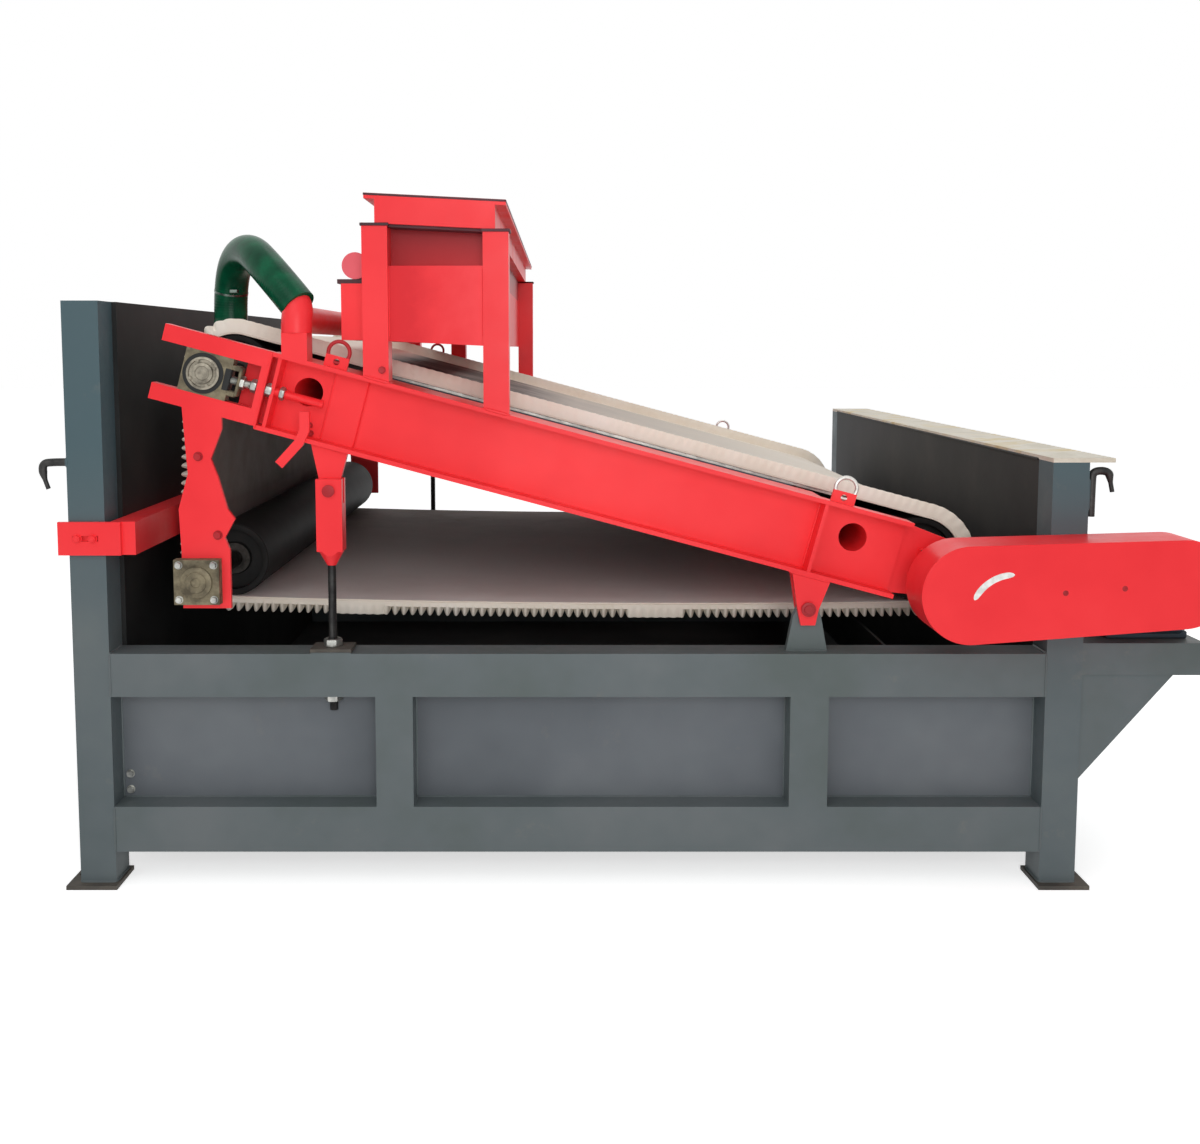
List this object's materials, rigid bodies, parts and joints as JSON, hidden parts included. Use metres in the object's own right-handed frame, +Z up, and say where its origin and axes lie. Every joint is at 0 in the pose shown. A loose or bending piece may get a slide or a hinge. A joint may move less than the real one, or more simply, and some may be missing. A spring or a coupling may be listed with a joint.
{
  "type": "plate magnetic separator",
  "caption": "Inclined wide-belt magnetic separator: belt deck with rollers, feed hopper and wash pipe, hinged on a welded tank frame with screw jacks and a guarded drive.",
  "frame": {"origin": "centre of the four anchor holes, on the ground", "axes": "+X along the machine towards the drive end, +Y to the back, +Z up"},
  "size_m": [3.22, 2.873, 1.9297],
  "materials": {
    "red_enamel": "gloss enamel",
    "frame_enamel": "satin enamel",
    "tank_lining": "matt lining",
    "stained_cap": "stained satin",
    "dark_steel": "dark oiled steel",
    "motor_enamel": "satin enamel",
    "bright_steel": "zinc plated",
    "cast_housing": "as cast, brown grey",
    "belt_rubber": "cream food-grade rubber",
    "roller_rubber": "black lagging",
    "green_hose": "glossy reinforced hose"
  },
  "bodies": {
    "base": {"left_posts": "frame_enamel", "right_posts": "frame_enamel", "foot_plates": "frame_enamel", "bottom_rails": "frame_enamel", "top_rails": "frame_enamel", "stiles": "frame_enamel", "back_panels": "frame_enamel", "front_panels": "frame_enamel", "left_wall": "tank_lining", "right_wall": "tank_lining", "right_wall_cap": "stained_cap", "tank_floor": "tank_lining", "tailings_chute": "tank_lining", "lifting_hooks": "dark_steel", "motor_platform": "frame_enamel", "gear_motor": "motor_enamel", "drive_guard": "red_enamel", "guard_back_plate": "red_enamel", "scraper_bar": "red_enamel", "scraper_brackets": "red_enamel", "hinge_pedestals": "frame_enamel", "jack_nuts": "bright_steel"},
    "deck": {"back_beam": "red_enamel", "front_beam": "red_enamel", "cross_tubes": "red_enamel", "beam_ribs": "red_enamel", "slider_bed": "bright_steel", "magnet_box": "motor_enamel", "deck_crossbars": "red_enamel", "hinge_lugs": "red_enamel", "jack_lugs": "red_enamel", "belt": "belt_rubber", "front_sidewall": "belt_rubber", "back_sidewall": "belt_rubber", "roller_arms": "red_enamel", "return_bearings": "cast_housing", "take_up_guides": "red_enamel", "take_up_bearings": "cast_housing", "tension_screws": "bright_steel", "drum_bearings": "cast_housing", "drum_end_plates": "red_enamel", "hopper_legs": "red_enamel", "hopper_box": "red_enamel", "hopper_frame": "red_enamel", "feed_box": "red_enamel", "feed_box_lid": "red_enamel", "feed_pipe": "red_enamel", "wash_posts": "red_enamel", "wash_pipe": "red_enamel", "wash_hose": "green_hose", "hose_outlet": "red_enamel", "ring_lugs": "red_enamel", "lever_bars": "red_enamel"},
    "jacks": {"jack_clevises": "red_enamel", "jack_rods": "dark_steel"},
    "take_up_roller": {"take_up_roller": "roller_rubber"},
    "return_roller": {"return_roller": "roller_rubber"},
    "drive_drum": {"drive_drum": "roller_rubber"}
  },
  "joints": [
    {"name": "deck_tilt", "type": "hinge", "parent": "base", "child": "deck", "pos_m": [0.64, 0, 0.789], "axis": [0, 1, 0], "range_deg": [-1.5, 2]},
    {"name": "jack_swing", "type": "hinge", "parent": "deck", "child": "jacks", "pos_m": [-0.687, 0, 1.12], "axis": [0, 1, 0], "range_deg": [-0.75, 0.6]},
    {"name": "take_up_roller_spin", "type": "hinge", "parent": "deck", "child": "take_up_roller", "pos_m": [-1.024, 0, 1.44348], "axis": [0, 1, 0], "continuous": true},
    {"name": "return_roller_spin", "type": "hinge", "parent": "deck", "child": "return_roller", "pos_m": [-1.048, 0, 0.87048], "axis": [0, 1, 0], "continuous": true},
    {"name": "drive_drum_spin", "type": "hinge", "parent": "deck", "child": "drive_drum", "pos_m": [1.037, 0, 0.8726], "axis": [0, 1, 0], "continuous": true}
  ],
  "couplings": [
    {"joint": "jack_swing", "follows": "deck_tilt", "ratio": -0.345},
    {"joint": "take_up_roller_spin", "follows": "drive_drum_spin", "ratio": 1.1636},
    {"joint": "return_roller_spin", "follows": "drive_drum_spin", "ratio": 1.1636}
  ]
}
